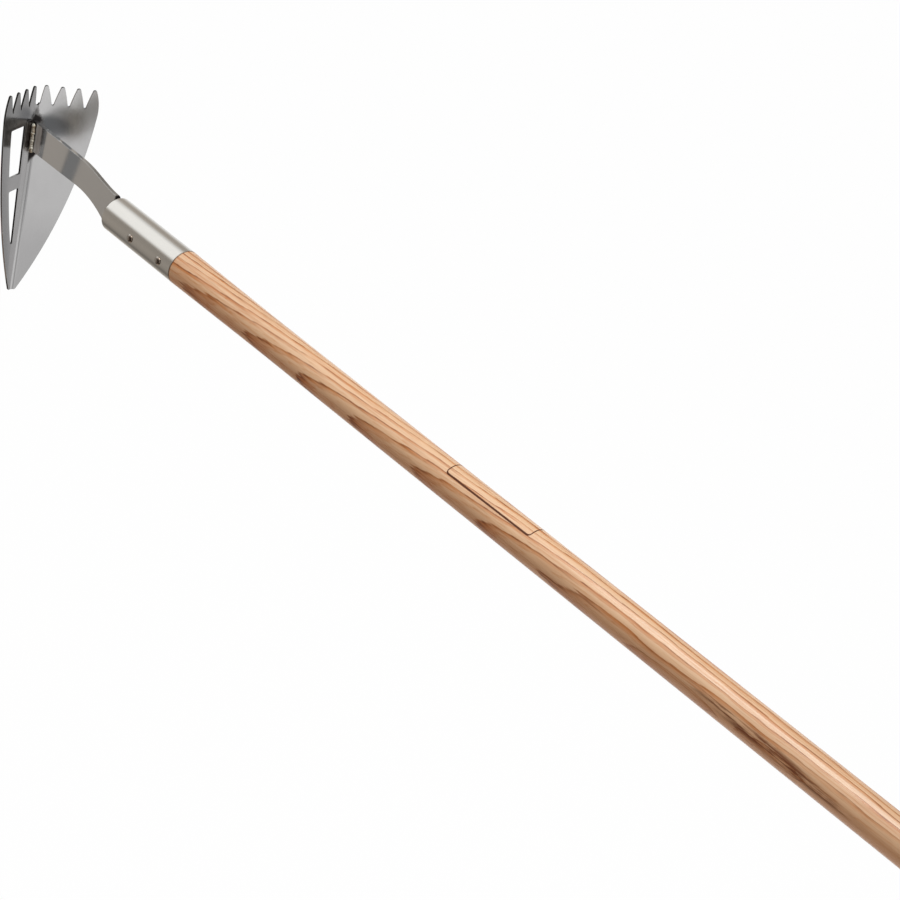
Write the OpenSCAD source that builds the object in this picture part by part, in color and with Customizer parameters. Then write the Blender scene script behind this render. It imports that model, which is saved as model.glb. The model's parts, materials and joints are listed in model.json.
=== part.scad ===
// Weeding hoe: a folded comb-topped blade welded to a curved flat neck, with a
// steel ferrule riveted on a long ash handle.
// Units are millimetres. +X runs along the handle from the blade to the butt,
// +Y points to the solid wing of the blade, +Z points up to the comb.
// The origin is on the handle axis, in the middle of the straight grip.

/* [Handle] */
// Diameter of the straight shaft
shaft_d = 30.5; // [26:0.5:31]
// Length of wood behind the ferrule
handle_len = 1280; // [800:10:1600]
// Length over which the wood tapers from the ferrule to the shaft
swell_len = 135; // [80:5:200]
// Radius that rounds the edge of the butt
butt_round = 10; // [4:0.5:12]
// Free space between the tenon and the closed nose of the ferrule
tenon_gap = 4; // [1:0.5:10]

/* [Ferrule] */
// Outside diameter, flush with the wood behind it
ferrule_d = 32.7; // [32:0.1:39]
// Length from nose to mouth
ferrule_len = 101; // [80:1:130]
// Wall thickness of the drawn cup
ferrule_wall = 1.2; // [0.8:0.1:1.8]
// Radius of the rounded nose corner
nose_round = 3.5; // [2.5:0.5:4.5]
// Radial clearance of the tenon in the ferrule
tenon_clearance = 0.05; // [0.02:0.01:0.2]

/* [Rivets] */
// Shank diameter
rivet_d = 4; // [3:0.5:5]
// Head diameter
rivet_head_d = 6.5; // [6:0.5:9]
// Head height above the ferrule
rivet_head_h = 1.8; // [1.2:0.1:2.4]
// Distance from the ferrule mouth to the rear rivet
rivet_inset = 16.5; // [8:0.5:25]
// Distance between the two rivets
rivet_pitch = 41; // [30:1:50]
// Radial clearance of the shank in its holes
rivet_clearance = 0.05; // [0.02:0.01:0.2]

/* [Neck] */
// Thickness of the flat bar
neck_t = 4; // [3:0.5:5]
// Distance along the handle axis from the fold to the ferrule nose
neck_len = 134; // [115:1:170]
// Length of the straight stretch at the blade
neck_straight = 75; // [50:1:80]
// Height of the bar at the blade
root_h = 28; // [22:0.2:35]
// Height of the bar where the curve starts
waist_h = 25.9; // [20:0.1:30]
// Middle of the bar above the handle axis at the blade
neck_rise = 11.5; // [8:0.5:16]
// Level stretch under the bar at the ferrule
neck_land = 8; // [4:1:14]

/* [Blade] */
// Sheet thickness
sheet_t = 2; // [1:0.1:2.5]
// Angle by which each wing is folded towards the handle
wing_fold = 26.3; // [18:0.1:30]
// Angle by which the point leans towards the handle
blade_lean = 5.6; // [0:0.1:15]
// Inside radius of the fold
bend_r = 5; // [4.5:0.5:7]
// Width of one flat wing at its widest, from the fold line
half_width = 56.9; // [46:0.1:69]
// Height of the widest place above the handle axis
shoulder_rise = 39; // [35:1:40]
// Radius of the shoulder above the widest place
shoulder_r = 50; // [40:1:56]
// Angle that the shoulder turns before the long edge starts
shoulder_turn = 6; // [5:0.5:9]
// Depth of the point below the handle axis
tip_drop = 143.5; // [120:0.5:172]
// Half width of the blunt point
tip_half = 3.8; // [3.8:0.1:5]
// Radius of the two corners of the point
tip_round = 2; // [1:0.1:2.2]

/* [Comb] */
// Height of the tooth tips above the handle axis
comb_rise = 59; // [56:0.2:62]
// Teeth on each wing
teeth = 4; // [3:1:4]
// Height of a tooth from the bottom of the gap
tooth_h = 18; // [16:0.5:19]
// Radius of a tooth tip
tooth_round = 2; // [1.6:0.1:2.3]
// Width of the gap at the foot of the teeth
gap_w = 2; // [1.6:0.1:2.8]
// Angle through which a tooth flank bows outwards
flank_bow = 3; // [2:0.5:5]

/* [Windows] */
// Distance from the fold line to the top of the upper window
top_inset = 16.6; // [14:0.2:18]
// Distance from the fold line to the bottom of the lower window
low_inset = 10.2; // [8:0.2:11.4]
// Width of the frame beside the top of the upper window
frame_top_w = 13.5; // [12:0.5:15]
// Width of the frame beside the bottom of the lower window
frame_low_w = 12.3; // [11:0.1:13]
// Top of the upper window above the handle axis
window_rise = 23.5; // [20:0.5:26]
// Bottom of the upper window below the handle axis
crossbar_drop = 23.5; // [18:0.5:28]
// Height of the bar between the windows
crossbar_h = 14.5; // [10:0.5:18]
// Width of the lower window at its narrow end
window_end_w = 3.5; // [1.2:0.1:4]
// Radius of the window corners
window_round = 1.2; // [0.6:0.1:1.5]

/* [Welds] */
// Radius of one ripple of a bead
bead_r = 2.2; // [2:0.1:2.8]
// Distance from one ripple of a bead to the next
ripple_pitch = 2.3; // [2:0.1:2.5]

/* [Hidden] */

steel = "silver";
tinted_steel = "rosybrown";
ash = "burlywood";

shaft_r = shaft_d / 2;
ferrule_r = ferrule_d / 2;
bore_r = ferrule_r - ferrule_wall;
tenon_r = bore_r - tenon_clearance;
tenon_len = ferrule_len - ferrule_wall - tenon_gap;
rivet_hole_d = rivet_d + 2 * rivet_clearance;

// Stations along the handle axis
grip_len = handle_len - swell_len - butt_round;
mouth_x = -grip_len / 2 - swell_len;
nose_x = mouth_x - ferrule_len;
fold_x = nose_x - neck_len;
rear_rivet_x = mouth_x - rivet_inset;
front_rivet_x = rear_rivet_x - rivet_pitch;

// Fold: the flat wings start where the bend ends, measured from the fold line
wing_start = bend_r * tan(wing_fold);
bend_centre = bend_r / cos(wing_fold);
middle_gap_r = 0.85 * bend_r * sin(wing_fold);
past_fold = wing_start / 2;
past_end = 5;
side_y = neck_t / 2;
fit_up = 0.02;
seat_n = fit_up + (side_y < bend_r * sin(wing_fold)
  ? bend_centre - sqrt(pow(bend_r, 2) - pow(side_y, 2))
  : side_y * tan(wing_fold));

// Long edge: an arc from the point that runs into the shoulder arc
shoulder_c = [half_width - shoulder_r, shoulder_rise];
turn_dir = [cos(shoulder_turn), -sin(shoulder_turn)];
tip_from_shoulder = [tip_half, -tip_drop] - shoulder_c;
tip_across = tip_from_shoulder * turn_dir;
edge_r = (pow(norm(tip_from_shoulder), 2) - 2 * shoulder_r * tip_across + pow(shoulder_r, 2))
  / (2 * (shoulder_r - tip_across));
edge_c = shoulder_c + (shoulder_r - edge_r) * turn_dir;
tip_angle = asin((-tip_drop - edge_c.y) / edge_r);

// Comb: tooth tips are arcs that run into the flanks, and the last one into the shoulder
valley_u = comb_rise - tooth_h;
tip_u = comb_rise - tooth_round;
bend_margin = 0.2;
comb_start = wing_start + bend_margin;
last_tooth = shoulder_c.x + sqrt(pow(shoulder_r - tooth_round, 2) - pow(tip_u - shoulder_c.y, 2));
first_share = 0.65;
foot_w = (last_tooth - comb_start - (teeth - 1) * gap_w) / (first_share + 2 * (teeth - 1));
first_w = first_share * foot_w;
tooth_pitch = 2 * foot_w + gap_w;
valley_lean = foot_lean(foot_w);
valley_r = gap_w / 2 / cos(valley_lean);
foot_u = valley_u + valley_r * (1 - sin(valley_lean));
tip_over_foot = tip_u - foot_u;
shoulder_end = atan2(tip_u - shoulder_c.y, last_tooth - shoulder_c.x);

// Neck outline, in the plane of the handle axis and the fold
root_low = neck_rise - root_h / 2;
root_high = neck_rise + root_h / 2;
waist_low = neck_rise - waist_h / 2;
waist_high = neck_rise + waist_h / 2;
sweep_len = neck_len - neck_straight;
belly_len = sweep_len - neck_land;
belly_drop = waist_low + ferrule_r;
belly_r = (pow(belly_len, 2) + pow(belly_drop, 2)) / (2 * belly_drop);
neck_top_round = 3;
neck_foot_round = 1.5;

// Share by which ripples differ in size, and the angle between one and the next in that change
ripple_change = 0.1;
ripple_turn = 110;

round_fn = 96;
small_fn = 48;

// Points on an arc from angle a to angle b
function arc(centre, r, a, b, steps) =
  [for (i = [0 : steps]) let (t = a + (b - a) * i / steps) centre + r * [cos(t), sin(t)]];

function unit(v) = v / norm(v);

// Points that round corner b, between neighbours a and c, with radius r
function corner(a, b, c, r, steps = 6) =
  let (
    p = unit(a - b),
    q = unit(c - b),
    half = acos(p * q) / 2,
    centre = b + unit(p + q) * r / sin(half),
    from = b + p * r / tan(half) - centre,
    to = b + q * r / tan(half) - centre,
    start = atan2(from.y, from.x),
    sweep = (atan2(to.y, to.x) - start + 540) % 360 - 180
  )
  arc(centre, r, start, start + sweep, steps);

function edge_v(u) = edge_c.x + sqrt(pow(edge_r, 2) - pow(u - edge_c.y, 2));

// Slope of a tooth flank at its foot, for half a tooth that is w wide there
function foot_lean(w) =
  let (chord = [w, tip_u - valley_u - gap_w / 2])
  atan2(chord.x, chord.y) - asin(tooth_round / norm(chord)) - flank_bow;

function flank_r(w) = (pow(w, 2) + pow(tip_over_foot, 2) - pow(tooth_round, 2))
  / (2 * (w * cos(foot_lean(w)) - tip_over_foot * sin(foot_lean(w)) - tooth_round));

// Half of a tooth from foot to tip, on the side away from the fold
function half_tooth(v, w) =
  let (
    lean = foot_lean(w),
    r = flank_r(w),
    centre = [w - r * cos(lean), foot_u - r * sin(lean)],
    flank_end = atan2(tip_u - centre.y, -centre.x)
  )
  concat(
    arc([v, 0] + centre, r, lean, flank_end, 8),
    arc([v, tip_u], tooth_round, flank_end, 90, 6)
  );

function mirrored(points, v) =
  [for (i = [len(points) - 1 : -1 : 0]) [2 * v - points[i].x, points[i].y]];

function tooth_v(i) = comb_start + first_w + i * tooth_pitch;

// Gap on the fold side of tooth i
function gap_points(i) = arc(
  [tooth_v(i) - foot_w - gap_w / 2, foot_u + valley_r * sin(valley_lean)],
  valley_r, -valley_lean, -180 + valley_lean, 8
);

// Comb from the last tooth to the fold, with a gap after each tooth but the one at the fold
function comb_points() = [
  for (i = [teeth - 1 : -1 : 0])
    each concat(
      i == teeth - 1
        ? arc([last_tooth, tip_u], tooth_round, shoulder_end, 90, 6)
        : half_tooth(tooth_v(i), foot_w),
      mirrored(half_tooth(tooth_v(i), i == 0 ? first_w : foot_w), tooth_v(i)),
      i == 0 ? [] : gap_points(i)
    )
];

function tip_points() =
  corner([0, -tip_drop], [tip_half, -tip_drop], [edge_v(8 - tip_drop), 8 - tip_drop], tip_round);

// Flat wing; it runs past the fold line and below the point, where the sheet ends
function wing_points() = concat(
  [
    [-past_fold, foot_u],
    [-past_fold, -tip_drop - past_end],
    [tip_points()[0].x, -tip_drop - past_end]
  ],
  [for (p = tip_points()) if (p.y > -tip_drop) p],
  [for (p = arc(edge_c, edge_r, tip_angle, -shoulder_turn, 40)) if (p.y > 4 - tip_drop) p],
  arc(shoulder_c, shoulder_r, -shoulder_turn, shoulder_end, 12),
  comb_points()
);

// Section of the folded sheet, X towards the handle and Y across
function sheet_points() =
  let (
    far_v = half_width + past_end,
    along = [sin(wing_fold), cos(wing_fold)],
    thick = [-cos(wing_fold), sin(wing_fold)] * sheet_t,
    flip = [[1, 0], [0, -1]],
    bend_a = 180 - wing_fold,
    bend_b = 180 + wing_fold
  )
  concat(
    [far_v * along],
    arc([bend_centre, 0], bend_r, bend_a, bend_b, 12),
    [flip * (far_v * along), flip * (far_v * along + thick)],
    arc([bend_centre, 0], bend_r + sheet_t, bend_b, bend_a, 12),
    [far_v * along + thick]
  );

// The same points without those that repeat where two arcs meet
function distinct(points) = [
  for (i = [0 : len(points) - 1])
    if (norm(points[i] - points[(i + 1) % len(points)]) > 0.001) points[i]
];

// Windows: one side keeps near the fold line and the other follows the long edge
window_end_edge = low_inset + window_end_w + frame_low_w;
window_end_u = edge_c.y - sqrt(pow(edge_r, 2) - pow(window_end_edge - edge_c.x, 2));
function up_windows(low, top, u) =
  low + (top - low) * (u - window_end_u) / (window_rise - window_end_u);
function fold_side(u) = [up_windows(low_inset, top_inset, u), u];
function window_side(u) = [edge_v(u) - up_windows(frame_low_w, frame_top_w, u), u];

// Window between two heights; its outer side has as many points as the curve needs
function window_points(low, high) =
  let (
    side = [for (i = [0 : 12]) window_side(low + (high - low) * i / 12)],
    inner_low = fold_side(low),
    inner_high = fold_side(high),
    low_round = min(window_round, (side[0].x - inner_low.x) * 0.4)
  )
  concat(
    corner(inner_high, inner_low, side[0], low_round),
    corner(inner_low, side[0], side[1], low_round),
    [for (i = [1 : 11]) side[i]],
    corner(side[11], side[12], inner_high, window_round),
    corner(side[12], inner_high, inner_low, window_round)
  );

// Neck edges between the straight stretch and the ferrule
function neck_high(t) = ferrule_r + (waist_high - ferrule_r) * (1 + cos(180 * t)) / 2;
function neck_low(t) = waist_low - belly_r + sqrt(pow(belly_r, 2) - pow(belly_len * t, 2));
function on_fold(n, z) = [n / cos(blade_lean) - z * tan(blade_lean), z];

function neck_points() =
  let (
    back_high = [neck_len, ferrule_r],
    back_low = [neck_len, -ferrule_r]
  )
  concat(
    [on_fold(seat_n, root_low)],
    [for (i = [0 : 16]) [neck_straight + belly_len * i / 16, neck_low(i / 16)]],
    corner(back_low - [neck_land, 0], back_low, back_high, neck_foot_round),
    corner(back_low, back_high, back_high - [neck_land, 0], neck_top_round),
    [for (i = [15 : -1 : 0]) [neck_straight + sweep_len * i / 16, neck_high(i / 16)]],
    [on_fold(seat_n, root_high)]
  );

module on_axis(x) {
  translate([x, 0, 0])
    rotate([0, 90, 0])
      children();
}

// Blade frame: X towards the handle, Z up the fold line
module on_blade() {
  translate([fold_x, 0, 0])
    rotate([0, -blade_lean, 0])
      children();
}

module folded_sheet() {
  translate([0, 0, -tip_drop])
    linear_extrude(tip_drop + comb_rise + past_end)
      polygon(sheet_points());
}

// What is punched out of a wing, square to its face, on the +Y side
module wing_waste(with_windows) {
  rotate([0, 0, 90 - wing_fold])
    rotate([90, 0, 0])
      linear_extrude(8 * sheet_t, center = true) {
        difference() {
          translate([-past_fold, -tip_drop - past_end])
            square([half_width + past_fold + 2 * past_end, tip_drop + comb_rise + 3 * past_end]);
          polygon(distinct(wing_points()));
        }
        if (with_windows) {
          polygon(distinct(window_points(-crossbar_drop, window_rise)));
          polygon(distinct(window_points(window_end_u, -crossbar_drop - crossbar_h)));
        }
      }
}

// Round bottom of the middle gap of the comb, through the bend
module middle_gap() {
  translate([bend_centre, 0, foot_u])
    rotate([0, -90, 0])
      cylinder(h = 3 * bend_r, r = middle_gap_r, $fn = small_fn);
}

module blade() {
  color(steel)
    on_blade()
      difference() {
        folded_sheet();
        wing_waste(false);
        mirror([0, 1, 0])
          wing_waste(true);
        middle_gap();
      }
}

module neck() {
  color(steel)
    translate([fold_x, 0, 0])
      rotate([90, 0, 0])
        linear_extrude(neck_t, center = true)
          polygon(distinct(neck_points()));
}

// Row of ripples along Z; they differ a little in size
module ripples(length) {
  steps = round(length / ripple_pitch);
  for (i = [0 : steps])
    translate([0, 0, length * i / steps])
      sphere(bead_r * (1 + ripple_change * sin(i * ripple_turn)), $fn = small_fn);
}

// Bead in the corner between the neck and a wing, on the +Y side
module blade_bead() {
  reach = 4 * bead_r;
  bead_len = root_h - 2 * bead_r;
  on_blade()
    intersection() {
      translate([seat_n + bead_r * 0.6, side_y + bead_r * 0.3, root_low])
        ripples(bead_len);
      translate([0, 0, root_low - reach])
        linear_extrude(root_h + 2 * reach)
          polygon([
            [seat_n, side_y],
            [fit_up + reach, side_y],
            [fit_up + (side_y + reach) * tan(wing_fold), side_y + reach]
          ]);
    }
}

// Bead in the corner between the neck and the ferrule nose, on the +Y side
module nose_bead() {
  bead_len = 2 * (ferrule_r - nose_round - bead_r - 1);
  translate([nose_x, 0, 0])
    intersection() {
      translate([-bead_r * 0.4, side_y + bead_r * 0.4, -bead_len / 2])
        ripples(bead_len);
      translate([-4 * bead_r, side_y, -ferrule_r])
        cube([4 * bead_r, 4 * bead_r, ferrule_d]);
    }
}

module blade_weld_right() {
  color(tinted_steel)
    blade_bead();
}

module blade_weld_left() {
  color(tinted_steel)
    mirror([0, 1, 0])
      blade_bead();
}

module nose_weld_right() {
  color(tinted_steel)
    nose_bead();
}

module nose_weld_left() {
  color(tinted_steel)
    mirror([0, 1, 0])
      nose_bead();
}

// Half section of a round-nosed cylinder, nose at Y = 0
module round_nosed(r, length, round) {
  square([r - round, length]);
  translate([0, round])
    square([r, length - round]);
  translate([r - round, round])
    circle(round, $fn = small_fn);
}

module rivet_holes() {
  for (x = [front_rivet_x, rear_rivet_x])
    translate([x, 0, 0])
      rotate([90, 0, 0])
        cylinder(h = 2 * ferrule_d, d = rivet_hole_d, center = true, $fn = small_fn);
}

module ferrule() {
  color(steel)
    difference() {
      on_axis(nose_x)
        rotate_extrude($fn = round_fn)
          difference() {
            round_nosed(ferrule_r, ferrule_len, nose_round);
            translate([0, ferrule_wall])
              round_nosed(bore_r, ferrule_len, nose_round - ferrule_wall);
          }
      rivet_holes();
    }
}

// Rivet along Y, with its heads shaped to the ferrule
module rivet(x) {
  head_r = (pow(rivet_head_d / 2, 2) + pow(rivet_head_h, 2)) / (2 * rivet_head_h);
  rotate([90, 0, 0])
    translate([x, 0, 0])
      cylinder(h = ferrule_d + rivet_head_h, d = rivet_d, center = true, $fn = small_fn);
  difference() {
    for (side = [-1, 1])
      translate([x, side * (ferrule_r + rivet_head_h - head_r), 0])
        sphere(head_r, $fn = small_fn);
    on_axis(x - rivet_head_d)
      cylinder(h = 2 * rivet_head_d, r = ferrule_r, $fn = round_fn);
  }
}

module front_rivet() {
  color(steel)
    rivet(front_rivet_x);
}

module rear_rivet() {
  color(steel)
    rivet(rear_rivet_x);
}

// Half section of the wood, ferrule mouth at Y = 0
module handle_section() {
  chamfer = 1;
  swell_steps = 9;
  polygon(concat(
    [
      [0, -tenon_len],
      [tenon_r - chamfer, -tenon_len],
      [tenon_r, chamfer - tenon_len],
      [tenon_r, 0]
    ],
    [
      for (i = [0 : swell_steps])
        let (t = i / swell_steps)
          [shaft_r + (ferrule_r - shaft_r) * pow(1 - t, 1.3), swell_len * t]
    ],
    [[0, swell_len]]
  ));
  translate([0, swell_len])
    square([shaft_r, grip_len]);
  translate([0, swell_len + grip_len]) {
    square([shaft_r - butt_round, butt_round]);
    intersection() {
      square([shaft_r, butt_round]);
      translate([shaft_r - butt_round, 0])
        circle(butt_round, $fn = small_fn);
    }
  }
}

module handle() {
  color(ash)
    difference() {
      on_axis(mouth_x)
        rotate_extrude($fn = round_fn)
          handle_section();
      rivet_holes();
    }
}

blade();
neck();
blade_weld_left();
blade_weld_right();
ferrule();
nose_weld_left();
nose_weld_right();
front_rivet();
rear_rivet();
handle();
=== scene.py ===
"""Finishes a long-handled weeding hoe around its fixed frame: edges, welds, turned parts, surfaces."""

import json
import math

import bpy
from mathutils import Matrix, Vector


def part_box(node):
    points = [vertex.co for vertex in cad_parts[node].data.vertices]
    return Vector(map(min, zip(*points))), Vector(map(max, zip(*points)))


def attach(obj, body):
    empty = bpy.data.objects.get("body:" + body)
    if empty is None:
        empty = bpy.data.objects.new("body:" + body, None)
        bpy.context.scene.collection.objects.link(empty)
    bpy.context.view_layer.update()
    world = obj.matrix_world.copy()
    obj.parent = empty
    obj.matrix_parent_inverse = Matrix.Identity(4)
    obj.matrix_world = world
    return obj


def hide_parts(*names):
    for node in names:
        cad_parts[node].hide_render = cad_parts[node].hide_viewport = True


bl_info = {
    "name": "Weeding Hoe",
    "version": (1, 0, 0),
    "blender": (4, 5, 0),
    "location": "3D View > Sidebar > Weeding Hoe",
    "description": "Models and finishes a weeding hoe with a folded comb-topped blade",
    "category": "Add Mesh",
}

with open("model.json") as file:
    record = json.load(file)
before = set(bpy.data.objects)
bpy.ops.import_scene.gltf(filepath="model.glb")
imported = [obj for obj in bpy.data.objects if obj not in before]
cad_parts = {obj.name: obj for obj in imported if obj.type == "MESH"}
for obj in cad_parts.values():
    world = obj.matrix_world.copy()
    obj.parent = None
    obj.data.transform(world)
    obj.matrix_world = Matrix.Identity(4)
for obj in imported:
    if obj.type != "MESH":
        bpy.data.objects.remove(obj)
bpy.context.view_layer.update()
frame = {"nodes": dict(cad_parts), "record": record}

MM = 0.001
BODY = "root"

# Places that come from the frame
ferrule_low, ferrule_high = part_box("ferrule")
handle_low, handle_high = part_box("handle")
grip = frame["record"]["mounts"][0]
SHAFT_R = grip["dims"]["r_mm"] * MM
GRIP_END = grip["dims"]["length_mm"] * MM / 2
NOSE_X = ferrule_low.x
MOUTH_X = ferrule_high.x
FERRULE_R = ferrule_high.z
BUTT_X = handle_high.x
TENON_X = handle_low.x

# The line of the fold, its lean, the turn of each wing, and where the neck meets the fold
NECK_LENGTH = 134 * MM
FOLD_X = NOSE_X - NECK_LENGTH
BLADE_LEAN = math.radians(5.6)
WING_FOLD = math.radians(26.3)
ROOT_LOW = -2.5 * MM
ROOT_HIGH = 25.5 * MM
ROOT_MIDDLE = (ROOT_LOW + ROOT_HIGH) / 2

# Heights on the fold line: just below the windows, and the start of the dark point
BELOW_WINDOWS = -98 * MM
POINT_START = -130 * MM

# The burnt film ends a little above the foot of the neck, and slopes down past the bend of the wing
FILM_END = ROOT_LOW + 2.9 * MM
FILM_SLOPE = 0.62
FILM_BEND = 8 * MM

# Edges that turn further than this are broken
SHARP_ANGLE = math.radians(40)

# Cosine of the angle to the wings' own normals below which a face of the sheet is a cut face
FLAT_COSINE = 0.8

# Radius at which the end of a turned piece is filled
END_RADIUS = 1 * MM


def srgb(red, green, blue):
    """A colour as seen on screen, 0 to 255, as the linear values that a shader takes."""
    return tuple(
        c / 12.92 if c <= 0.04045 else ((c + 0.055) / 1.055) ** 2.4
        for c in (red / 255, green / 255, blue / 255)
    )


def shaded(colour, share):
    """A colour darkened to that share of itself."""
    return tuple(c * share for c in colour)


def colour_of(name, description, red, green, blue):
    """A colour property, its default given as seen on screen."""
    return bpy.props.FloatVectorProperty(
        name=name,
        description=description,
        subtype="COLOR",
        size=3,
        min=0.0,
        max=1.0,
        default=srgb(red, green, blue),
    )


def length_of(name, description, millimetres):
    """A length property, its default given in millimetres."""
    return bpy.props.FloatProperty(
        name=name,
        description=description,
        default=millimetres * MM,
        min=0.0,
        precision=5,
        subtype="DISTANCE",
        unit="LENGTH",
    )


class HoeSizes(bpy.types.PropertyGroup):
    """Sizes of the details that the finish adds."""

    sheet_edge: length_of("Sheet edge", "Width of the broken edges of the blade", 0.22)
    bar_edge: length_of("Bar edge", "Radius of the ground edges of the neck", 0.2)
    bead_grain: length_of("Bead grain", "Size of the smallest shape in a weld bead", 0.22)
    bead_lumps: length_of("Bead lumps", "Height of the lumps on a weld bead", 0.7)
    mouth_edge: length_of("Mouth edge", "Radius of the edge of the ferrule mouth", 0.35)
    nose_round: length_of("Nose round", "Radius of the nose corner of the ferrule", 2.4)
    ferrule_wall: length_of("Ferrule wall", "Thickness of the ferrule", 1.2)
    swell: length_of("Swell", "Length of the taper behind the ferrule", 135)
    rivet_head: length_of("Rivet head", "Height of a rivet head", 2.2)
    rivet_spread: bpy.props.FloatProperty(
        name="Rivet spread",
        description="How much wider a hammered head is than a drawn one",
        default=1.2,
        min=1.0,
        max=1.5,
    )
    ring_width: length_of("Ring width", "Wood between two growth rings", 5.6)
    mark_length: length_of("Mark length", "Length of the burnt outline", 93.5)
    mark_width: length_of("Mark width", "Width of the burnt outline round the handle", 21.8)
    mark_corner: length_of("Mark corner", "Corner radius of the burnt outline", 3)
    mark_line: length_of("Mark line", "Width of the burnt line", 1.7)
    floor_drop: length_of("Floor drop", "Height of the handle above the floor", 620)


class HoeColours(bpy.types.PropertyGroup):
    """Colours of the finishes."""

    blade: colour_of("Blade", "Satin stainless sheet", 202, 201, 201)
    neck: colour_of("Neck", "Ground stainless bar", 205, 206, 206)
    ferrule: colour_of("Ferrule", "Brushed stainless tube", 212, 210, 205)
    rivet: colour_of("Rivet", "Rivet metal", 186, 181, 174)
    weld: colour_of("Weld", "Bare weld metal", 205, 200, 188)
    straw: colour_of("Straw", "Light heat tint", 172, 142, 100)
    # Heat tint colour, also used for painted shade on the rivet heads
    scorch: colour_of("Scorch", "Heavy heat tint", 92, 66, 44)
    # Soot colour, also used for painted shade at the weld on the blade and on the neck
    soot: colour_of("Soot", "Burnt film beside a weld", 32, 27, 28)
    cut: colour_of("Cut edge", "Dark oxide on the cut edges of the sheet", 30, 27, 25)
    film: colour_of("Film", "Purple-brown film beside the bead", 58, 48, 48)
    # Heat tint that also serves as a painted dark reflection of the neck
    temper: colour_of("Temper", "Grey-blue heat tint on the wing beside the neck", 104, 107, 112)
    sapwood: colour_of("Sapwood", "Pale wood between the rings", 223, 183, 146)
    heartwood: colour_of("Heartwood", "Warm wood near the rings", 193, 121, 65)
    ring: colour_of("Ring", "Dark pores at the start of a ring", 116, 60, 28)
    burn: colour_of("Burn", "Burnt line on the wood", 84, 42, 14)
    floor: colour_of("Floor", "Pale floor", 250, 250, 250)


class Wire:
    """A shader socket: sums on values add Math nodes, and add() makes any other node."""

    def __init__(self, tree, socket=None):
        self.tree = tree
        self.socket = socket

    def add(self, kind, settings=(), inputs=(), output=0):
        """A new node of that kind, set up and wired; returns the named or numbered output."""
        node = self.tree.nodes.new(kind)
        for name, value in dict(settings).items():
            if name == "stops":
                set_stops(node.color_ramp, value)
            else:
                setattr(node, name, value)
        for name, value in dict(inputs).items():
            if isinstance(value, Wire):
                self.tree.links.new(value.socket, node.inputs[name])
            else:
                node.inputs[name].default_value = value
        return Wire(self.tree, node.outputs[output])

    def math(self, operation, *values):
        """A Math node on these values."""
        return self.add("ShaderNodeMath", {"operation": operation}, dict(enumerate(values)))

    def __add__(self, other):
        return self.math("ADD", self, other)

    __radd__ = __add__

    def __mul__(self, other):
        return self.math("MULTIPLY", self, other)

    __rmul__ = __mul__

    def __sub__(self, other):
        return self.math("SUBTRACT", self, other)

    def __rsub__(self, other):
        return self.math("SUBTRACT", other, self)

    def __truediv__(self, other):
        return self.math("DIVIDE", self, other)

    def __pow__(self, other):
        return self.math("POWER", self, other)

    def __abs__(self):
        return self.math("ABSOLUTE", self)


def set_stops(ramp, stops):
    """Grey stops of a ramp, each a place from 0 to 1 and a level."""
    while len(ramp.elements) > 1:
        ramp.elements.remove(ramp.elements[-1])
    for index, (place, level) in enumerate(stops):
        stop = ramp.elements.new(place) if index else ramp.elements[0]
        stop.position = place
        stop.color = (level, level, level, 1)


def levels(value, start, end, *stops):
    """A level read off a ramp whose stops lie between start and end of that value."""
    span = end - start
    return value.add(
        "ShaderNodeValToRGB",
        {"stops": [((place - start) / span, level) for place, level in stops]},
        {"Fac": (value - start) / span},
    )


def step(value, low, high):
    """0 at low, 1 at high, with a smooth run between them."""
    return value.add(
        "ShaderNodeMapRange",
        {"interpolation_type": "SMOOTHSTEP"},
        {0: value, 1: low, 2: high, 3: 0.0, 4: 1.0},
    )


def largest(first, *others):
    """The largest of some values, of which the first is a wire."""
    for other in others:
        first = first.math("MAXIMUM", first, other)
    return first


def least(first, other):
    """The smaller of a wire and another value."""
    return first.math("MINIMUM", first, other)


def blend(factor, first, second):
    """The first colour where factor is 0 and the second where it is 1."""
    pair = [c if isinstance(c, Wire) else (*c, 1.0) for c in (first, second)]
    return factor.add(
        "ShaderNodeMix", {"data_type": "RGBA"}, {0: factor, 6: pair[0], 7: pair[1]}, output=2
    )


def noise(place, per_metre, detail=2.0, roughness=0.5):
    """Noise with so many changes a metre along each axis."""
    stretched = place.add("ShaderNodeMapping", (), {"Vector": place, "Scale": per_metre})
    return place.add(
        "ShaderNodeTexNoise",
        (),
        {"Vector": stretched, "Scale": 1.0, "Detail": detail, "Roughness": roughness},
    )


def split(vector):
    """The three parts of a vector."""
    return [vector.add("ShaderNodeSeparateXYZ", (), {0: vector}, output=i) for i in range(3)]


def new_finish(name, **constants):
    """A material, its shader node and a first wire; constants are set on the shader's own sockets."""
    material = bpy.data.materials.new(name)
    material.use_nodes = True
    tree = material.node_tree
    shader = next(n for n in tree.nodes if n.type == "BSDF_PRINCIPLED")
    for socket, value in constants.items():
        shader.inputs[socket.replace("_", " ")].default_value = value
    return material, shader, Wire(tree).add("ShaderNodeTexCoord", output="Object")


def wire_up(shader, **wires):
    """Joins wires to the shader's sockets of those names."""
    for socket, wire in wires.items():
        wire.tree.links.new(wire.socket, shader.inputs[socket.replace("_", " ")])


def bump(height, depth):
    """A normal from a height of 0 to 1, that deep in metres."""
    return height.add("ShaderNodeBump", (), {"Strength": 1.0, "Distance": depth, "Height": height})


def blade_places(place):
    """Distance out of the fold, distance to the solid wing's side, and height up the fold line."""
    x, y, z = split(place)
    along = x - FOLD_X
    out = along * math.cos(BLADE_LEAN) + z * math.sin(BLADE_LEAN)
    rise = z * math.cos(BLADE_LEAN) - along * math.sin(BLADE_LEAN)
    return out, y, rise


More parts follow.
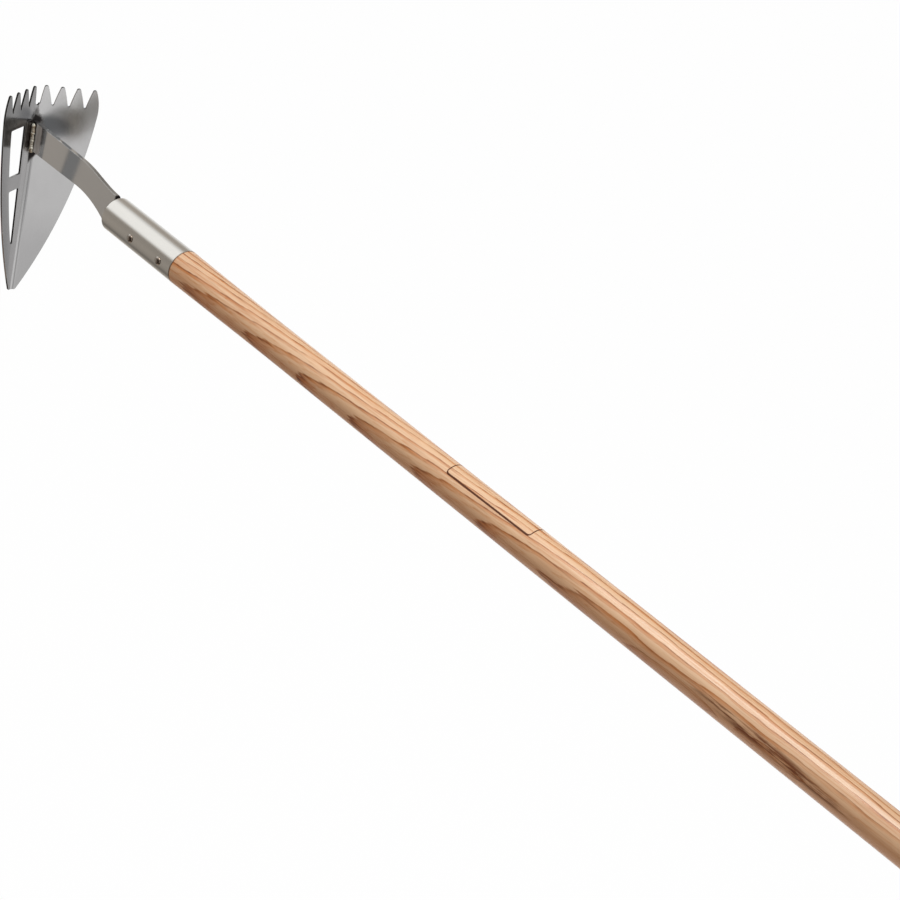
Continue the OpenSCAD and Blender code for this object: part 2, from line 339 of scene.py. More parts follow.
def spot(side, rise, centre, half, ragged):
    """1 inside a ragged oval on the blade, 0 outside; centre and half are across and up."""
    wide = (side - centre[0]) / half[0]
    high = (rise - centre[1]) / half[1]
    distance = (wide * wide + high * high) ** 0.5 + ragged
    return 1.0 - step(distance, 0.55, 1.2)


def film_level(side, rise):
    """Height on the fold line, sloping down the windowed wing as the end of the film does."""
    return rise + least(side + FILM_BEND, 0.0) * FILM_SLOPE


def weld_soot_and_shade(side, rise, ragged):
    """1 where weld soot and painted shade lie over and under the foot of the neck, less in the smoke
    above it.
    """
    over = spot(side, rise, (0.8 * MM, ROOT_HIGH + 0.8 * MM), (6 * MM, 6 * MM), ragged)
    smoke = spot(side, rise, (0, ROOT_HIGH + 5.5 * MM), (3.2 * MM, 7 * MM), ragged * 0.5) * 0.55
    below = ROOT_LOW - rise + ragged * 4 * MM
    slant = side + below * 0.62
    under = step(below, 0.0, 1.5 * MM) * step(below, 16 * MM, 8 * MM)
    under = under * step(slant, 9 * MM, 6.5 * MM) * step(side, -3.5 * MM, -1.5 * MM)
    return largest(over, smoke, under)


def blade_finish(colours):
    """Satin sheet with roll grain and smudges, painted shade along the fold and on the windowed wing,
    painted dark reflections of the neck on both wings, and soot, painted shade, burnt film and heat tint
    at the weld.
    """
    material, shader, place = new_finish("satin_sheet")
    out, side, rise = blade_places(place)
    smudge = noise(place, (55, 55, 40), 3.0, 0.6)
    grain = noise(place, (1800, 1800, 110), 2.0, 0.6)
    ragged = noise(place, (420, 420, 420), 3.0, 0.6) - 0.5
    front = step(out, -0.9 * MM, -0.3 * MM)
    # Weld soot, with painted shade in the valley over and under the foot of the neck
    soot = weld_soot_and_shade(side, rise, ragged) * front
    straw = spot(side, rise, (0, ROOT_MIDDLE), (9 * MM, 17 * MM), ragged * 0.6)
    scorch = spot(side, rise, (0, ROOT_MIDDLE), (6 * MM, 14 * MM), ragged * 0.6)
    # Grey-blue heat tint on the solid wing beside the neck, which is also a painted dark reflection of
    # the neck
    temper = spot(side, rise, (15 * MM, 20 * MM), (17 * MM, 12 * MM), ragged * 0.3)
    temper = temper * front * step(side, 0.5 * MM, 3 * MM)
    # Painted shade along the fold: a darker crease and a darker line beside it, which fade towards the
    # point. The solid wing is also darker near the point
    above_point = step(rise, ROOT_LOW - 105 * MM, ROOT_LOW - 45 * MM)
    fold_shade = step(side, -2 * MM, -1.2 * MM) * step(side, 1.2 * MM, 0.4 * MM)
    fold_shade = fold_shade * (0.35 + above_point * 0.65)
    fold_shade_line = step(side, 0.9 * MM, 1.6 * MM) * step(side, 3.4 * MM, 2.6 * MM)
    fold_shade_line = fold_shade_line * step(rise, ROOT_LOW, ROOT_LOW - 6 * MM) * above_point
    worn = (1.0 - above_point) * step(side, 1.0 * MM, 4 * MM)
    # Painted shade on the windowed wing: a darker comb and frame, and a painted dark reflection of the
    # neck beside it, within which lies the film
    left = step(side, -2 * MM, -3 * MM)
    comb = step(rise, ROOT_HIGH + 3 * MM, ROOT_HIGH + 8 * MM) * left
    outer = step(side, -9 * MM, -12 * MM)
    neck_reflection_band = left * step(film_level(side, rise), FILM_END - 0.5 * MM, FILM_END + 0.5 * MM)
    neck_reflection_band = neck_reflection_band * step(rise, ROOT_HIGH + 2 * MM, ROOT_HIGH)
    film = neck_reflection_band * step(side, -12 * MM, -10.5 * MM) * front * (0.85 + ragged * 0.6)
    dull = left * step(rise, ROOT_LOW - 4 * MM, ROOT_LOW - 1 * MM) * step(side, -14 * MM, -11 * MM)
    dull = dull * step(rise, ROOT_HIGH + 3 * MM, ROOT_HIGH)
    # Painted shade on the fold, the comb, the frame and beside the neck, with the darker patch near the
    # point
    shade_and_wear = fold_shade * 0.55 + fold_shade_line * 0.5 + worn * 0.22
    shade_and_wear = shade_and_wear + comb * 0.3 + outer * 0.28 + neck_reflection_band * 0.6
    bare = blend(smudge * 0.6, colours.blade, shaded(colours.blade, 0.85))
    shaded_and_worn = blend(shade_and_wear, bare, shaded(colours.blade, 0.45))
    with_tint_and_reflection = blend(temper * 0.66, shaded_and_worn, colours.temper)
    tinted = blend(straw * 0.3, with_tint_and_reflection, colours.straw)
    scorched = blend(scorch * 0.5, blend(film, tinted, colours.film), colours.scorch)
    wire_up(
        shader,
        Base_Color=blend(soot, scorched, colours.soot),
        Roughness=0.12 + smudge * 0.08 + soot * 0.4 + scorch * 0.1 + fold_shade * 0.15 + dull * 0.3,
        Metallic=1.0 - soot * 0.6,
        Normal=bump(grain, 0.004 * MM),
    )
    return material


def cut_finish(colours):
    """Cut edge of the sheet: dark oxide in short streaks, pale where it is ground below the film."""
    material, shader, place = new_finish("cut_edge", Metallic=0.3)
    _, side, rise = blade_places(place)
    streaks = noise(place, (900, 900, 900), 2.0, 0.6)
    outside = step(abs(side), 17 * MM, 19 * MM)
    under_windows = step(rise, BELOW_WINDOWS + 1 * MM, BELOW_WINDOWS - 1 * MM)
    under_film = step(film_level(side, rise), FILM_END + 0.5 * MM, FILM_END - 0.5 * MM)
    over_point = step(rise, POINT_START - 2 * MM, POINT_START + 3 * MM)
    ground = largest(outside, under_windows) * under_film * over_point
    oxide = blend(streaks, shaded(colours.cut, 0.6), colours.cut)
    wire_up(
        shader,
        Base_Color=blend(ground, oxide, shaded(colours.blade, 0.5)),
        Roughness=0.5 + streaks * 0.15,
        Normal=bump(streaks, 0.02 * MM),
    )
    return material


def neck_finish(colours):
    """Ground bar with fine lines along it, painted shade in the crevice by its welds, soot and painted
    shade on its top at the root, a painted shadow on its corner at the nose, and heat tint fading from
    the blade.
    """
    material, shader, place = new_finish("ground_bar")
    out = blade_places(place)[0]
    x, _, z = split(place)
    smudge = noise(place, (60, 60, 60), 3.0, 0.6)
    grain = noise(place, (120, 1600, 1600), 2.0, 0.6)
    uneven = noise(place, (160, 160, 160), 2.0) - 0.5
    reach = (out + uneven * 3 * MM) / MM
    heat = levels(
        reach, 0, 24,
        (5, 0.3), (8, 0.05), (9.5, 0.15), (11, 0.35), (12.8, 0.2), (17, 0.12), (23, 0),
    )
    # Painted shade in the crevice beside the bead, a painted shadow on the top corner at the nose, and
    # soot with painted shade on the top face at the root, all in the soot colour
    crevice_shade = step(reach, 7.6, 6.4)
    nose_corner_shadow = step(x, NOSE_X - 4.5 * MM, NOSE_X - 2 * MM) * step(z, 7.5 * MM, 10 * MM)
    at_nose = step(x + uneven * 3 * MM, NOSE_X - 5 * MM, NOSE_X - 1 * MM) * 0.5
    root_top_soot_and_shade = step(z, ROOT_HIGH - 0.9 * MM, ROOT_HIGH - 0.3 * MM) * step(reach, 26, 16)
    # The soot and the painted shade together
    burnt = largest(crevice_shade, nose_corner_shadow, root_top_soot_and_shade * 0.85)
    bare = blend(smudge, shaded(colours.neck, 0.93), colours.neck)
    tinted = blend(largest(heat, at_nose), bare, colours.scorch)
    wire_up(
        shader,
        Base_Color=blend(burnt, tinted, colours.soot),
        Roughness=0.09 + smudge * 0.06 + step(reach, 20, 9) * 0.4 + burnt * 0.3,
        Metallic=1.0 - step(reach, 17, 14) * 0.9,
        Normal=bump(grain, 0.003 * MM),
    )
    return material


def weld_finish(colours):
    """Bare bead metal with brown heat tint in its hollows."""
    material, shader, place = new_finish("weld_metal", Metallic=0.75)
    stain = noise(place, (260, 260, 180), 4.0, 0.65)
    grit = noise(place, (1900, 1900, 1900), 3.0, 0.6)
    brown = step(stain, 0.46, 0.62)
    dark = step(stain, 0.56, 0.68)
    tinted = blend(brown * 0.5, colours.weld, colours.straw)
    wire_up(
        shader,
        Base_Color=blend(dark * 0.8, tinted, colours.scorch),
        Roughness=0.42 + brown * 0.15 + grit * 0.1,
        Normal=bump(grit, 0.03 * MM),
    )
    return material


def ferrule_finish(colours):
    """Tube brushed along its length, with a dark line of dirt at the mouth."""
    material, shader, place = new_finish("brushed_tube", Metallic=1.0)
    x = split(place)[0]
    smudge = noise(place, (30, 70, 70), 3.0, 0.6)
    lines = noise(place, (14, 1500, 1500), 3.0, 0.7)
    dirt = step(x, MOUTH_X - 0.9 * MM, MOUTH_X - 0.2 * MM)
    bare = blend(lines * 0.5 + smudge * 0.5, shaded(colours.ferrule, 0.88), colours.ferrule)
    wire_up(
        shader,
        Base_Color=blend(dirt * 0.7, bare, colours.scorch),
        Roughness=0.15 + smudge * 0.06 + lines * 0.05 + dirt * 0.3,
        Normal=bump(lines, 0.004 * MM),
    )
    return material


def rivet_finish(colours, first_x, second_x):
    """Hammered rivet metal, with painted shade on the grip side of each head."""
    material, shader, place = new_finish("rivet_metal", Metallic=1.0)
    x = split(place)[0]
    middle = (first_x + second_x) / 2
    past = x - first_x - step(x, middle - MM, middle + MM) * (second_x - first_x)
    dents = noise(place, (700, 700, 700), 2.0)
    # Painted shade on the grip side of each head, in the heavy heat tint colour
    grip_side_shade = step(past + (dents - 0.5) * 2 * MM, -1.2 * MM, 1.6 * MM)
    bare = blend(dents, shaded(colours.rivet, 0.8), colours.rivet)
    wire_up(
        shader,
        Base_Color=blend(grip_side_shade * 0.7, bare, colours.scorch),
        Roughness=0.2 + dents * 0.12,
        Normal=bump(dents, 0.06 * MM),
    )
    return material


def burnt_outline(x, y, z, sizes):
    """1 on the line of a plain rounded outline on top of the handle."""
    centre_x = -306.2 * MM
    tilt = math.radians(0.7)
    corner = sizes.mark_corner
    from_top = y.math("ARCTAN2", y, z) * SHAFT_R
    past_x = abs(x - centre_x + from_top * tilt) - (sizes.mark_length / 2 - corner)
    past_arc = abs(from_top - (x - centre_x) * tilt) - (sizes.mark_width / 2 - corner)
    out_x = largest(past_x, 0.0)
    out_arc = largest(past_arc, 0.0)
    inside = least(largest(past_x, past_arc), 0.0)
    distance = (out_x * out_x + out_arc * out_arc) ** 0.5 + inside - corner
    line = (0.6 + step(past_arc - past_x, -2 * MM, 2 * MM) * 0.4) * sizes.mark_line
    return step(abs(distance), line * 0.62, line * 0.38)


def hump(x, z, centre, half):
    """1 in the middle of an oval on the flank of the handle, falling to 0 at its edge."""
    along = (x - centre[0]) / half[0]
    up = (z - centre[1]) / half[1]
    return step(along * along + up * up, 1.0, 0.0)


def wood_finish(colours, sizes):
    """Varnished ash: rings that slope through the shaft, a knot, a stain, pores and a burnt outline."""
    material, shader, place = new_finish(
        "varnished_ash", Coat_Roughness=0.2, Coat_IOR=1.5, Specular_IOR_Level=0.25
    )
    x, y, z = split(place)
    # Depth into the tree, bent by slopes at both ends, by sway, and by an arch and a knot on one flank
    pith = math.radians(195)
    depth = y * math.cos(pith) + z * math.sin(pith)
    slope = x.math("SMOOTH_MIN", x, -0.2, 0.16) * 0.08
    back_slope = x.math("SMOOTH_MAX", x, 0.26, 0.16) * 0.06
    wild = step(x, -0.4, -0.22)
    drift = (noise(place, (5, 22, 22), 2.0) - 0.5) * 5 * MM
    sway = (noise(place, (13, 55, 55), 2.0) - 0.5) * wild * 6 * MM
    twist = noise(place, (40, 170, 170), 3.0, 0.6) - 0.5
    ripple = twist * 0.9 * MM
    flank = step(y, 0.0, -8 * MM)
    arch = hump(x, z, (-105 * MM, -6.5 * MM), (60 * MM, 9 * MM)) * 4.5 * MM
    knot = hump(x + twist * 50 * MM, z + twist * 12 * MM, (0, -1 * MM), (40 * MM, 6.5 * MM))
    bulge = (arch + knot * 3 * MM) * flank
    # Rings: each starts with a dark line of pores and fades into pale wood
    feather = (noise(place, (18, 600, 600), 3.0, 0.6) - 0.5) * 0.45
    across = depth + slope - back_slope + drift + sway + ripple + bulge - 1.9 * MM
    rings = across / sizes.ring_width + feather
    phase = rings.math("FRACT", rings)
    number = rings.math("FLOOR", rings)
    strength = rings.add("ShaderNodeTexWhiteNoise", {"noise_dimensions": "1D"}, {"W": number})
    early = step(phase, 0.55, 0.05) * step(phase, 0.0, 0.08)
    dashes = 0.35 + step(noise(place, (40, 900, 900), 2.0, 0.6), 0.4, 0.58) * 0.65
    line = step(phase + twist * 0.12, 0.2, 0.04) * step(phase, 0.0, 0.04) * dashes
    thirds = rings * 3.0 + twist * 0.3
    fine = step(thirds.math("FRACT", thirds), 0.35, 0.05)
    # Streaks, flecks and pores along the grain, and a stain in swirls on the near flank
    streaks = noise(place, (6, 300, 300), 4.0, 0.7)
    stain = hump(x, z + x * 0.03, (-5 * MM, 0.8 * MM), (105 * MM, 6 * MM)) * flank
    swirl = step(noise(place, (22, 420, 420), 4.0, 0.7) + twist * 0.3, 0.4, 0.6)
    flecks = step(noise(place, (22, 650, 650), 2.0, 0.6), 0.56, 0.72)
    pores = step(noise(place, (90, 3200, 3200), 2.0, 0.6), 0.6, 0.72)
    by_mouth = step(x, -0.5, -0.69)
    warm = early * (0.55 + strength * 0.5) + fine * 0.3 + (streaks - 0.5) * 2.2 + by_mouth * 0.12
    dark = line * (0.35 + strength * 0.5) * (0.6 + streaks) * (1.0 + by_mouth * 0.3)
    dark = dark + flecks * (0.15 + early * 0.3) + pores * (0.05 + early * 0.2) + stain * swirl
    soft = largest(least(warm, 1.0), 0.0)
    plain = blend(soft, colours.sapwood, colours.heartwood)
    grained = blend(least(dark, 0.9), plain, colours.ring)
    outline = burnt_outline(x, y, z, sizes)
    shoulder = step(x, MOUTH_X + 1.3 * MM, MOUTH_X + 0.4 * MM)
    burn = largest(outline, shoulder * 0.75)
    wire_up(
        shader,
        Base_Color=blend(burn, grained, colours.burn),
        Roughness=0.42 + dark * 0.2 + burn * 0.2,
        Coat_Weight=(1.0 - burn) * 0.6,
        Normal=bump(1.0 - pores * 0.4 - line * 0.1 - burn, 0.06 * MM),
    )
    return material


def pick(piece):
    """Only this piece is selected and active."""
    bpy.ops.object.select_all(action="DESELECT")
    piece.select_set(True)
    bpy.context.view_layer.objects.active = piece


def apply_modifier(piece, kind, **settings):
    """Adds a modifier, sets it up and applies it."""
    modifier = piece.modifiers.new(kind.lower(), kind)
    for name, value in settings.items():
        setattr(modifier, name, value)
    pick(piece)
    bpy.ops.object.modifier_apply(modifier=modifier.name)


def smooth(piece):
    """Smooth shading in which broad faces stay flat and only the narrow ones turn the light."""
    pick(piece)
    bpy.ops.object.shade_smooth()
    apply_modifier(piece, "WEIGHTED_NORMAL", mode="FACE_AREA", weight=100, keep_sharp=True)


def break_edges(piece, width, segments, clamp):
    """Bevels the sharp edges of a piece, then shades it."""
    apply_modifier(
        piece,
        "BEVEL",
        width=width,
        segments=segments,
        use_clamp_overlap=clamp,
        limit_method="ANGLE",
        angle_limit=SHARP_ANGLE,
    )
    smooth(piece)


def welded_copy(node, name):
    """A copy of a frame node with its points merged and its flat faces whole."""
    piece = bpy.data.objects.new(name, frame["nodes"][node].data.copy())
    bpy.context.scene.collection.objects.link(piece)
    piece.data.name = name
    piece.data.materials.clear()
    pick(piece)
    bpy.ops.object.mode_set(mode="EDIT")
    bpy.ops.mesh.select_all(action="SELECT")
    bpy.ops.mesh.customdata_custom_splitnormals_clear()
    bpy.ops.mesh.remove_doubles(threshold=0.02 * MM)
    bpy.ops.mesh.dissolve_limited(angle_limit=math.radians(0.4))
    bpy.ops.object.mode_set(mode="OBJECT")
    return piece


def turned(name, stations, sides):
    """A closed piece turned along X: a ring is drawn out through stations of place and radius."""
    bpy.ops.object.select_all(action="DESELECT")
    first_x, first_r = stations[0]
    bpy.ops.mesh.primitive_circle_add(
        vertices=sides, radius=first_r, location=(first_x, 0, 0), rotation=(0, math.pi / 2, 0)
    )
    piece = bpy.context.object
    piece.name = name
    piece.data.name = name
    bpy.ops.object.transform_apply(location=True, rotation=True, scale=True)
    bpy.ops.object.mode_set(mode="EDIT")
    bpy.ops.mesh.select_all(action="SELECT")
    for (x, r), (next_x, next_r) in zip(stations, stations[1:]):
        bpy.ops.mesh.extrude_region_move(TRANSFORM_OT_translate={"value": (next_x - x, 0, 0)})
        grow = next_r / r
        bpy.ops.transform.resize(value=(1, grow, grow), center_override=(next_x, 0, 0))
    bpy.ops.mesh.select_all(action="SELECT")
    bpy.ops.mesh.fill_holes(sides=0)
    bpy.ops.mesh.normals_make_consistent(inside=False)
    bpy.ops.object.mode_set(mode="OBJECT")
    return piece


def arc(centre_x, centre_r, radius, start, end, steps):
    """Stations on an arc, angles in degrees from +X towards larger radius."""
    angles = [math.radians(start + (end - start) * i / steps) for i in range(steps + 1)]
    return [(centre_x + radius * math.cos(a), centre_r + radius * math.sin(a)) for a in angles]


def finish_piece(piece, material, slot, *nodes):
    """Gives a piece its material and its body, and hides the frame nodes it stands for; the slot is not
    used.
    """
    if not piece.data.polygons:
        raise RuntimeError(piece.name + " has no faces")
    piece.data.materials.append(material)
    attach(piece, BODY)
    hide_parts(*nodes)


class HOE_OT_blade(bpy.types.Operator):
    """Folded sheet with broken sheared edges"""

    bl_idname = "hoe.blade"
    bl_label = "Blade"
    bl_options = {"REGISTER", "UNDO"}

    def execute(self, context):
        sizes = context.scene.hoe_sizes
        colours = context.scene.hoe_colours
        piece = welded_copy("blade", "folded_blade")
        break_edges(piece, sizes.sheet_edge, segments=1, clamp=False)
        finish_piece(piece, blade_finish(colours), "blade_steel", "blade")
        piece.data.materials.append(cut_finish(colours))
        wings = [Vector((math.cos(WING_FOLD), turn * math.sin(WING_FOLD), 0)) for turn in (-1, 1)]
        lean = Matrix.Rotation(BLADE_LEAN, 3, "Y")
        for face in piece.data.polygons:
            flat = max(abs(face.normal.dot(lean @ wing)) for wing in wings)
            if flat < FLAT_COSINE:
                face.material_index = 1
        return {"FINISHED"}


class HOE_OT_neck(bpy.types.Operator):
    """Curved flat bar with ground edges"""

    bl_idname = "hoe.neck"
    bl_label = "Neck"
    bl_options = {"REGISTER", "UNDO"}

    def execute(self, context):
        sizes = context.scene.hoe_sizes
        colours = context.scene.hoe_colours
        piece = welded_copy("neck", "curved_neck")
        break_edges(piece, sizes.bar_edge, segments=3, clamp=True)
        finish_piece(piece, neck_finish(colours), "neck_steel", "neck")
        return {"FINISHED"}


# Spacing of the lumps on a bead, and how far a blade bead stands out of its fillet
LUMP_SPACING = 2.2 * MM
BEAD_CROWN = 1.3


class HOE_OT_beads(bpy.types.Operator):
    """Four weld beads, melted together from their ripples"""

    bl_idname = "hoe.beads"
    bl_label = "Weld beads"
    bl_options = {"REGISTER", "UNDO"}

    def execute(self, context):
        sizes = context.scene.hoe_sizes
        colours = context.scene.hoe_colours
        lumps = bpy.data.textures.new("bead_lumps", "CLOUDS")
        lumps.noise_scale = LUMP_SPACING
        lumps.noise_depth = 2
        metal = weld_finish(colours)
        for node in ("blade_weld_left", "blade_weld_right", "nose_weld_left", "nose_weld_right"):
            piece = welded_copy(node, node.replace("weld", "bead"))
            apply_modifier(piece, "REMESH", mode="VOXEL", voxel_size=sizes.bead_grain)
            apply_modifier(piece, "SMOOTH", factor=0.5, iterations=4)
            apply_modifier(
                piece,
                "DISPLACE",
                texture=lumps,
                texture_coords="LOCAL",
                strength=sizes.bead_lumps,
                mid_level=0.5,
            )
            apply_modifier(piece, "SMOOTH", factor=0.5, iterations=3)
            pick(piece)
            if node.startswith("blade"):
                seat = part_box(node)[0]
                bpy.ops.transform.resize(value=(BEAD_CROWN, 1, 1), center_override=seat)
                bpy.ops.object.transform_apply(location=True, rotation=True, scale=True)
            bpy.ops.object.shade_smooth()
            finish_piece(piece, metal, "weld_steel", node)
        return {"FINISHED"}


class HOE_OT_ferrule(bpy.types.Operator):
    """Drawn cup with a round nose and a rolled mouth edge"""

    bl_idname = "hoe.ferrule"
    bl_label = "Ferrule"
    bl_options = {"REGISTER", "UNDO"}

    def execute(self, context):
        sizes = context.scene.hoe_sizes
        colours = context.scene.hoe_colours
        nose = sizes.nose_round
        edge = sizes.mouth_edge
        wall = sizes.ferrule_wall
        bore = FERRULE_R - wall
        inner = nose - wall
        rings = 8
        stations = [(NOSE_X, END_RADIUS)]
        stations += arc(NOSE_X + nose, FERRULE_R - nose, nose, 180, 90, 10)
        stations += [(NOSE_X + (MOUTH_X - NOSE_X) * i / rings, FERRULE_R) for i in range(1, rings)]
        stations += arc(MOUTH_X - edge, FERRULE_R - edge, edge, 90, 0, 5)
        stations += [(MOUTH_X, bore)]
        stations += arc(NOSE_X + nose, bore - inner, inner, 90, 180, 6)
        stations += [(NOSE_X + wall, END_RADIUS)]
        piece = turned("drawn_ferrule", stations, 128)
        smooth(piece)
        finish_piece(piece, ferrule_finish(colours), "ferrule_steel", "ferrule")
        return {"FINISHED"}


class HOE_OT_rivets(bpy.types.Operator):
    """Two through rivets with domed heads"""

    bl_idname = "hoe.rivets"
    bl_label = "Rivets"
    bl_options = {"REGISTER", "UNDO"}

    def execute(self, context):
        sizes = context.scene.hoe_sizes
        colours = context.scene.hoe_colours
        nodes = ("front_rivet", "rear_rivet")
        first_x, second_x = (sum(corner.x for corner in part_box(node)) / 2 for node in nodes)
        metal = rivet_finish(colours, first_x, second_x)
        for node in nodes:
            low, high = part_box(node)
            head_r = (high.x - low.x) / 2 * sizes.rivet_spread
            shank_r = 2 * MM
            sink = 0.5 * MM
            flat = 1.1 * MM
            dome = [
                (high.y - sizes.rivet_head * (1 - math.cos(a)), flat + (head_r - flat) * math.sin(a))
                for a in (math.radians(10 * i) for i in range(10))
            ]
            half = dome + [(FERRULE_R - sink, head_r), (FERRULE_R - sink, shank_r)]
            stations = [(-x, r) for x, r in half] + [(x, r) for x, r in reversed(half)]
            piece = turned(node + "_pin", stations, 48)
            pick(piece)
            bpy.ops.transform.rotate(
                value=math.pi / 2, orient_axis="Z", center_override=(0, 0, 0)
            )
            bpy.ops.transform.translate(value=((low.x + high.x) / 2, 0, 0))
            bpy.ops.object.transform_apply(location=True, rotation=True, scale=True)
            smooth(piece)
            finish_piece(piece, metal, "rivet_steel", node)
        return {"FINISHED"}


class HOE_OT_handle(bpy.types.Operator):
    """Turned ash handle with its tenon, swell and rounded butt"""

    bl_idname = "hoe.handle"
    bl_label = "Handle"
    bl_options = {"REGISTER", "UNDO"}

    def execute(self, context):
        sizes = context.scene.hoe_sizes
        colours = context.scene.hoe_colours
        tenon_r = FERRULE_R - sizes.ferrule_wall - 0.05 * MM
        chamfer = 1 * MM
        edge = sizes.mouth_edge
        butt_round = BUTT_X - GRIP_END
        swell_steps = 18
        swell_power = 1.3
        grip_steps = 30
        stations = [(TENON_X, 2 * MM), (TENON_X, tenon_r - chamfer), (TENON_X + chamfer, tenon_r)]
        stations += [(MOUTH_X, tenon_r), (MOUTH_X, FERRULE_R - edge)]
        stations += arc(MOUTH_X + edge, FERRULE_R - edge, edge, 160, 90, 4)
        for i in range(1, swell_steps + 1):
            t = i / swell_steps
            radius = SHAFT_R + (FERRULE_R - SHAFT_R) * (1 - t) ** swell_power
            stations.append((MOUTH_X + sizes.swell * t, radius))
        stations += [(-GRIP_END + 2 * GRIP_END * i / grip_steps, SHAFT_R) for i in range(1, grip_steps)]
        stations += arc(GRIP_END, SHAFT_R - butt_round, butt_round, 90, 0, 14)
        stations += [(BUTT_X, END_RADIUS)]
        piece = turned("ash_handle", stations, 128)
        smooth(piece)
        finish_piece(piece, wood_finish(colours, sizes), "ash_wood", "handle")
        return {"FINISHED"}


# Lights, floor and camera, in metres, in watts and in millimetres of lens and sensor
WHITE = (1, 1, 1)
WARM_ROOM = (1.0, 0.91, 0.82)
WARM_FILL = (0.93, 0.57, 0.33)
LAMP_PLACE = (-0.35, -0.15, 1.0)
LAMP_SIZE = (0.8, 0.55)
LAMP_WATTS = 7.4
LAMP_TINT = (0.95, 1.0, 1.0)
FLOOR_SIZE = 60
FLOOR_GLOW = 0.98
SENSOR_MM = 36
LENS_MM = 91.694
CAMERA_PLACE = (0.6038, -1.2420, 0.8583)
CAMERA_RIGHT = (0.65972, 0.69927, 0.27532)
CAMERA_UP = (-0.51967, 0.15983, 0.83929)
RAYS = ("Is Camera Ray", "Is Diffuse Ray", "Is Glossy Ray", "Is Transmission Ray")


def studio_world():
    """White to the camera; a wide light above, a pale backdrop behind, and a dim warm room in front."""
    world = bpy.data.worlds.new("studio")
    bpy.context.scene.world = world
    world.use_nodes = True
    tree = world.node_tree
    shader = next(n for n in tree.nodes if n.type == "BACKGROUND")
    direction = Wire(tree).add("ShaderNodeTexCoord", output="Generated")
    x, y, z = split(direction)
    turn = z.math("ARCTAN2", z, y) / (2 * math.pi)
    round_handle = turn.math("FRACT", turn) * 360
    # Angles run from the back wall up over the top to the room in front, and on under the hoe
    ring = levels(
        round_handle, 0, 360,
        (0, 0.9), (40, 0.5), (60, 0.65), (85, 1.3), (141, 1.3), (159, 0.4), (172, 0.42),
        (205, 0.48), (235, 0.42), (258, 0.2), (300, 0.65), (340, 1.0), (360, 0.9),
    )
    pale = step(ring, 0.55, 0.9)
    far_ends = least(0.15 + x * x * 1.7, 1.0)
    above_butt = step(x, 0.6, 0.78) * step(z, 0.1, 0.35)
    around = ring * (pale + (1.0 - pale) * far_ends) * (1.0 - above_butt * 0.74)
    straight_down = step(z, -0.75, -0.9)
    around = around + straight_down * (0.9 - around)
    # Past the butt a pale card hangs beside a dim gap, and the wall straight behind is dim
    past_butt = step(x, 0.8, 0.9) * (1.0 - above_butt)
    card = step(y, -0.08, -0.17)
    gap = step(y, 0.42, 0.3) * (1.0 - card)
    at_butt = around * (1.0 - card - gap) + card * (0.74 + step(z, -0.29, -0.2) * 0.22) + gap * 0.5
    straight_back = step(y, 0.78, 0.9) * step(abs(x), 0.36, 0.2)
    glow = (around + past_butt * (at_butt - around)) * (1.0 - straight_back * 0.55)
    # The camera sees white, gloss sees it only low on the back wall, and diffuse rays get a warm fill
    backdrop = step(y, 0.25, 0.5) * step(z, 0.2, 0.0) * (1.0 - straight_back)
    seen, diffuse, glossy, through = (glow.add("ShaderNodeLightPath", output=name) for name in RAYS)
    glow = glow * (1.0 - glossy * step(x, 0.05, 0.3) * step(x, 0.6, 0.5) * 0.6)
    glow = glow + diffuse * step(z, -0.3, -0.9) * 0.6
    shown = largest(seen, through, glossy * backdrop)
    strength = (glow + shown * (1.0 - glow)) * (1.0 - diffuse * 0.32)
    room = blend(diffuse, WARM_ROOM, WARM_FILL)
    colour = blend(largest(pale, past_butt, shown), room, WHITE)
    tree.links.new(strength.socket, shader.inputs["Strength"])
    tree.links.new(colour.socket, shader.inputs["Color"])


def pale_floor(sizes, colours):
    """A wide floor that stays white to the camera and keeps the shadow of the hoe."""
    bpy.ops.object.select_all(action="DESELECT")
    bpy.ops.mesh.primitive_plane_add(size=FLOOR_SIZE, location=(0, 0, -sizes.floor_drop))
    floor = bpy.context.object
    floor.name = "floor"
    floor.visible_diffuse = False
    floor.visible_glossy = False
    material, shader, place = new_finish("floor", Roughness=0.9)
    shader.inputs["Base Color"].default_value = (*colours.floor, 1)
    tree = material.node_tree
    camera = place.add("ShaderNodeLightPath", output="Is Camera Ray")
    glow = place.add("ShaderNodeEmission", (), {"Color": (*WHITE, 1), "Strength": 1.0})
    lit = Wire(tree, shader.outputs[0])
    mixed = place.add("ShaderNodeMixShader", (), {0: camera * FLOOR_GLOW, 1: lit, 2: glow})
    surface = next(n for n in tree.nodes if n.type == "OUTPUT_MATERIAL").inputs["Surface"]
    tree.links.new(mixed.socket, surface)
    floor.data.materials.append(material)


def strip_light():
    """A long lamp above the grip."""
    bpy.ops.object.light_add(type="AREA", location=LAMP_PLACE)
    lamp = bpy.context.object
    lamp.name = "strip_light"
    lamp.data.shape = "RECTANGLE"
    lamp.data.size, lamp.data.size_y = LAMP_SIZE
    lamp.data.energy = LAMP_WATTS
    lamp.data.color = LAMP_TINT


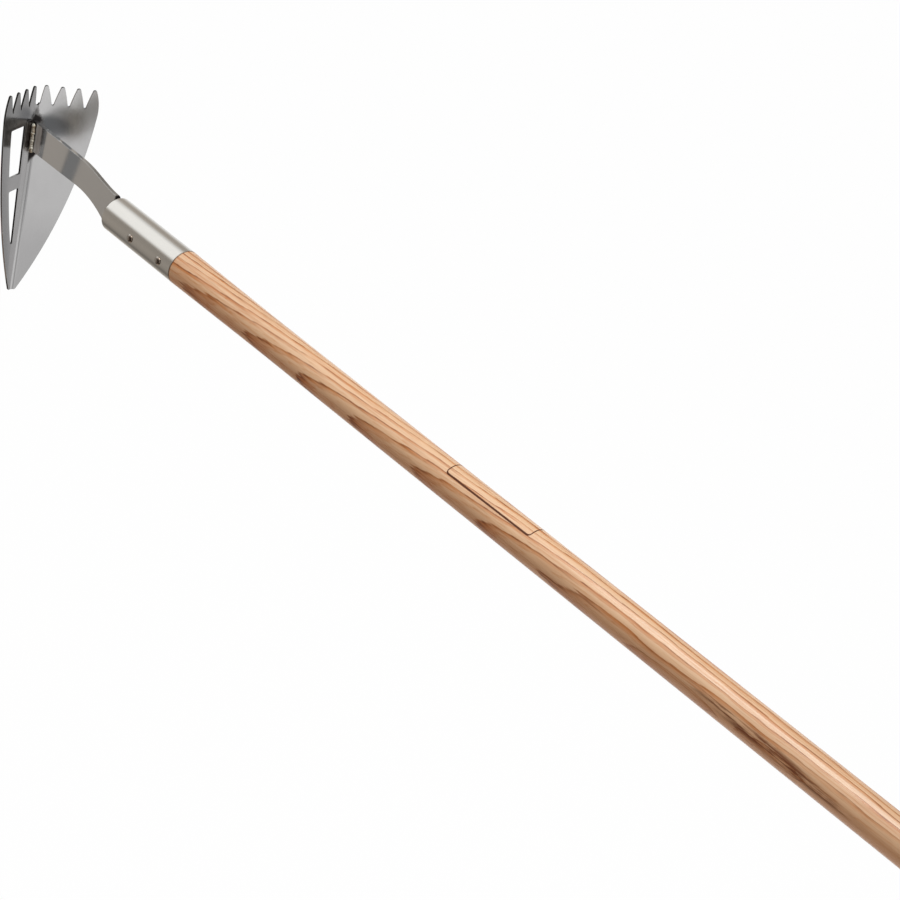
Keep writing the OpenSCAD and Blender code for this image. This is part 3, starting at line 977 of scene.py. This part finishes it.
def photo_camera():
    """The viewpoint: above the grip on the windowed side, turned a little about its own axis."""
    data = bpy.data.cameras.new("camera")
    data.sensor_width = SENSOR_MM
    data.lens = LENS_MM
    camera = bpy.data.objects.new("camera", data)
    bpy.context.scene.collection.objects.link(camera)
    right = Vector(CAMERA_RIGHT)
    up = Vector(CAMERA_UP)
    turn = Matrix((right, up, right.cross(up))).transposed().to_4x4()
    camera.matrix_world = Matrix.Translation(CAMERA_PLACE) @ turn
    bpy.context.scene.camera = camera


class HOE_OT_stage(bpy.types.Operator):
    """Floor, light and camera"""

    bl_idname = "hoe.stage"
    bl_label = "Stage"
    bl_options = {"REGISTER", "UNDO"}

    def execute(self, context):
        context.scene.view_settings.view_transform = "Standard"
        studio_world()
        pale_floor(context.scene.hoe_sizes, context.scene.hoe_colours)
        strip_light()
        photo_camera()
        return {"FINISHED"}


STEPS = (
    HOE_OT_blade,
    HOE_OT_neck,
    HOE_OT_beads,
    HOE_OT_ferrule,
    HOE_OT_rivets,
    HOE_OT_handle,
    HOE_OT_stage,
)


class HOE_PT_panel(bpy.types.Panel):
    """Lists the steps in order"""

    bl_idname = "HOE_PT_panel"
    bl_label = "Weeding Hoe"
    bl_space_type = "VIEW_3D"
    bl_region_type = "UI"
    bl_category = "Weeding Hoe"

    def draw(self, context):
        for operator in STEPS:
            self.layout.operator(operator.bl_idname)
        for group in (context.scene.hoe_sizes, context.scene.hoe_colours):
            for name in group.__annotations__:
                self.layout.prop(group, name)


CLASSES = (HoeSizes, HoeColours, *STEPS, HOE_PT_panel)


def register():
    """Makes the classes and the scene's settings known."""
    for cls in CLASSES:
        bpy.utils.register_class(cls)
    bpy.types.Scene.hoe_sizes = bpy.props.PointerProperty(type=HoeSizes)
    bpy.types.Scene.hoe_colours = bpy.props.PointerProperty(type=HoeColours)


def unregister():
    """Takes back what register made known."""
    del bpy.types.Scene.hoe_colours
    del bpy.types.Scene.hoe_sizes
    for cls in reversed(CLASSES):
        bpy.utils.unregister_class(cls)


def main():
    """Registers the classes and runs every step in order."""
    register()
    bpy.ops.hoe.blade()
    bpy.ops.hoe.neck()
    bpy.ops.hoe.beads()
    bpy.ops.hoe.ferrule()
    bpy.ops.hoe.rivets()
    bpy.ops.hoe.handle()
    bpy.ops.hoe.stage()


if __name__ == "__main__":
    main()
